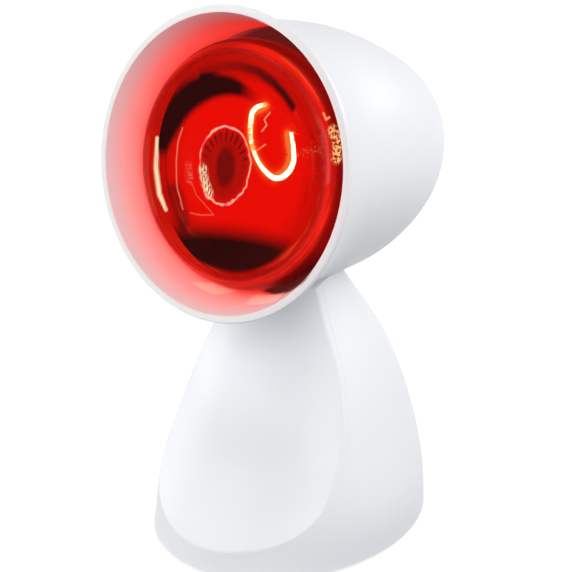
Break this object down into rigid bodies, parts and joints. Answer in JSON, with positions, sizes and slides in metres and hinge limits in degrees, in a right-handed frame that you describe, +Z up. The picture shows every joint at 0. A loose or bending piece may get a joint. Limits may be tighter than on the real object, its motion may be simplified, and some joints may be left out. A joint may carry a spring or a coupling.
{
  "type": "infrared heat therapy lamp",
  "caption": "White table lamp for heat treatment: a deep bell-shaped shade with a red infrared bulb, tilting in clicks on a flared pedestal with a teardrop front panel.",
  "frame": {"origin": "On the table plane, under the middle of the whole lamp with its head at rest.", "axes": "+Z up, -Y is the front that the shade faces, +X is on the right seen from the front."},
  "size_m": [0.15, 0.1869, 0.2807],
  "materials": {
    "white_plastic": "smooth white moulding, satin gloss",
    "shade_white": "smooth white heat-resistant moulding",
    "grey_plastic": "light grey, fine texture",
    "rubber": "black rubber pads",
    "black_plastic": "black, fine texture",
    "key_plastic": "black, glossy key",
    "block_plastic": "natural polyamide",
    "zinc_steel": "zinc-plated steel",
    "spring_steel": "bare spring steel",
    "fibre": "red-brown vulcanised fibre",
    "brass": "drawn brass",
    "lead_insulation": "silicone insulation",
    "red_glass": "ruby-red glass",
    "silvered_glass": "aluminised inside of the glass",
    "cap_aluminium": "rolled aluminium",
    "cap_glass": "black glass insulator",
    "solder": "dull solder",
    "filament_glow": "glowing tungsten coil",
    "bulb_wire": "nickel wire on a ceramic bead",
    "ceramic": "glazed ceramic"
  },
  "bodies": {
    "pedestal": {"rear_housing": "white_plastic", "front_cover": "white_plastic", "cover_screws": "zinc_steel", "base_plate": "grey_plastic", "rubber_feet": "rubber", "base_screws": "zinc_steel", "cord_bush": "black_plastic", "switch_housing": "black_plastic", "switch_terminals": "brass", "terminal_block": "block_plastic", "terminal_inserts": "brass", "terminal_screws": "brass", "pedestal_leads": "lead_insulation", "hinge_bracket": "zinc_steel", "bracket_screws": "zinc_steel", "axle_bolt": "zinc_steel", "axle_nut": "zinc_steel", "friction_washers": "fibre", "detent_spring": "spring_steel"},
    "switch_key": {"switch_rocker": "key_plastic"},
    "head": {"hinge_yoke": "zinc_steel", "hinge_spacer": "zinc_steel", "yoke_screws": "zinc_steel", "head_shell": "white_plastic", "shade_liner": "shade_white", "head_leads": "lead_insulation", "bulb_lens": "red_glass", "bulb_reflector": "silvered_glass", "bulb_cap": "cap_aluminium", "cap_insulator": "cap_glass", "bulb_contact": "solder", "filament": "filament_glow", "filament_supports": "bulb_wire", "lampholder_body": "ceramic", "lampholder_sleeve": "brass", "centre_contact": "brass", "holder_terminals": "brass", "holder_strap": "zinc_steel", "holder_screws": "zinc_steel", "strap_screws": "zinc_steel"}
  },
  "joints": [
    {"name": "head_tilt", "type": "hinge", "parent": "pedestal", "child": "head", "pos_m": [0, -0.0049, 0.103], "axis": [-1, 0, 0], "range_deg": [-20, 20]},
    {"name": "power_rocker", "type": "hinge", "parent": "pedestal", "child": "switch_key", "pos_m": [0, 0.0611, 0.046], "axis": [1, 0, 0], "range_deg": [0, 12]}
  ]
}
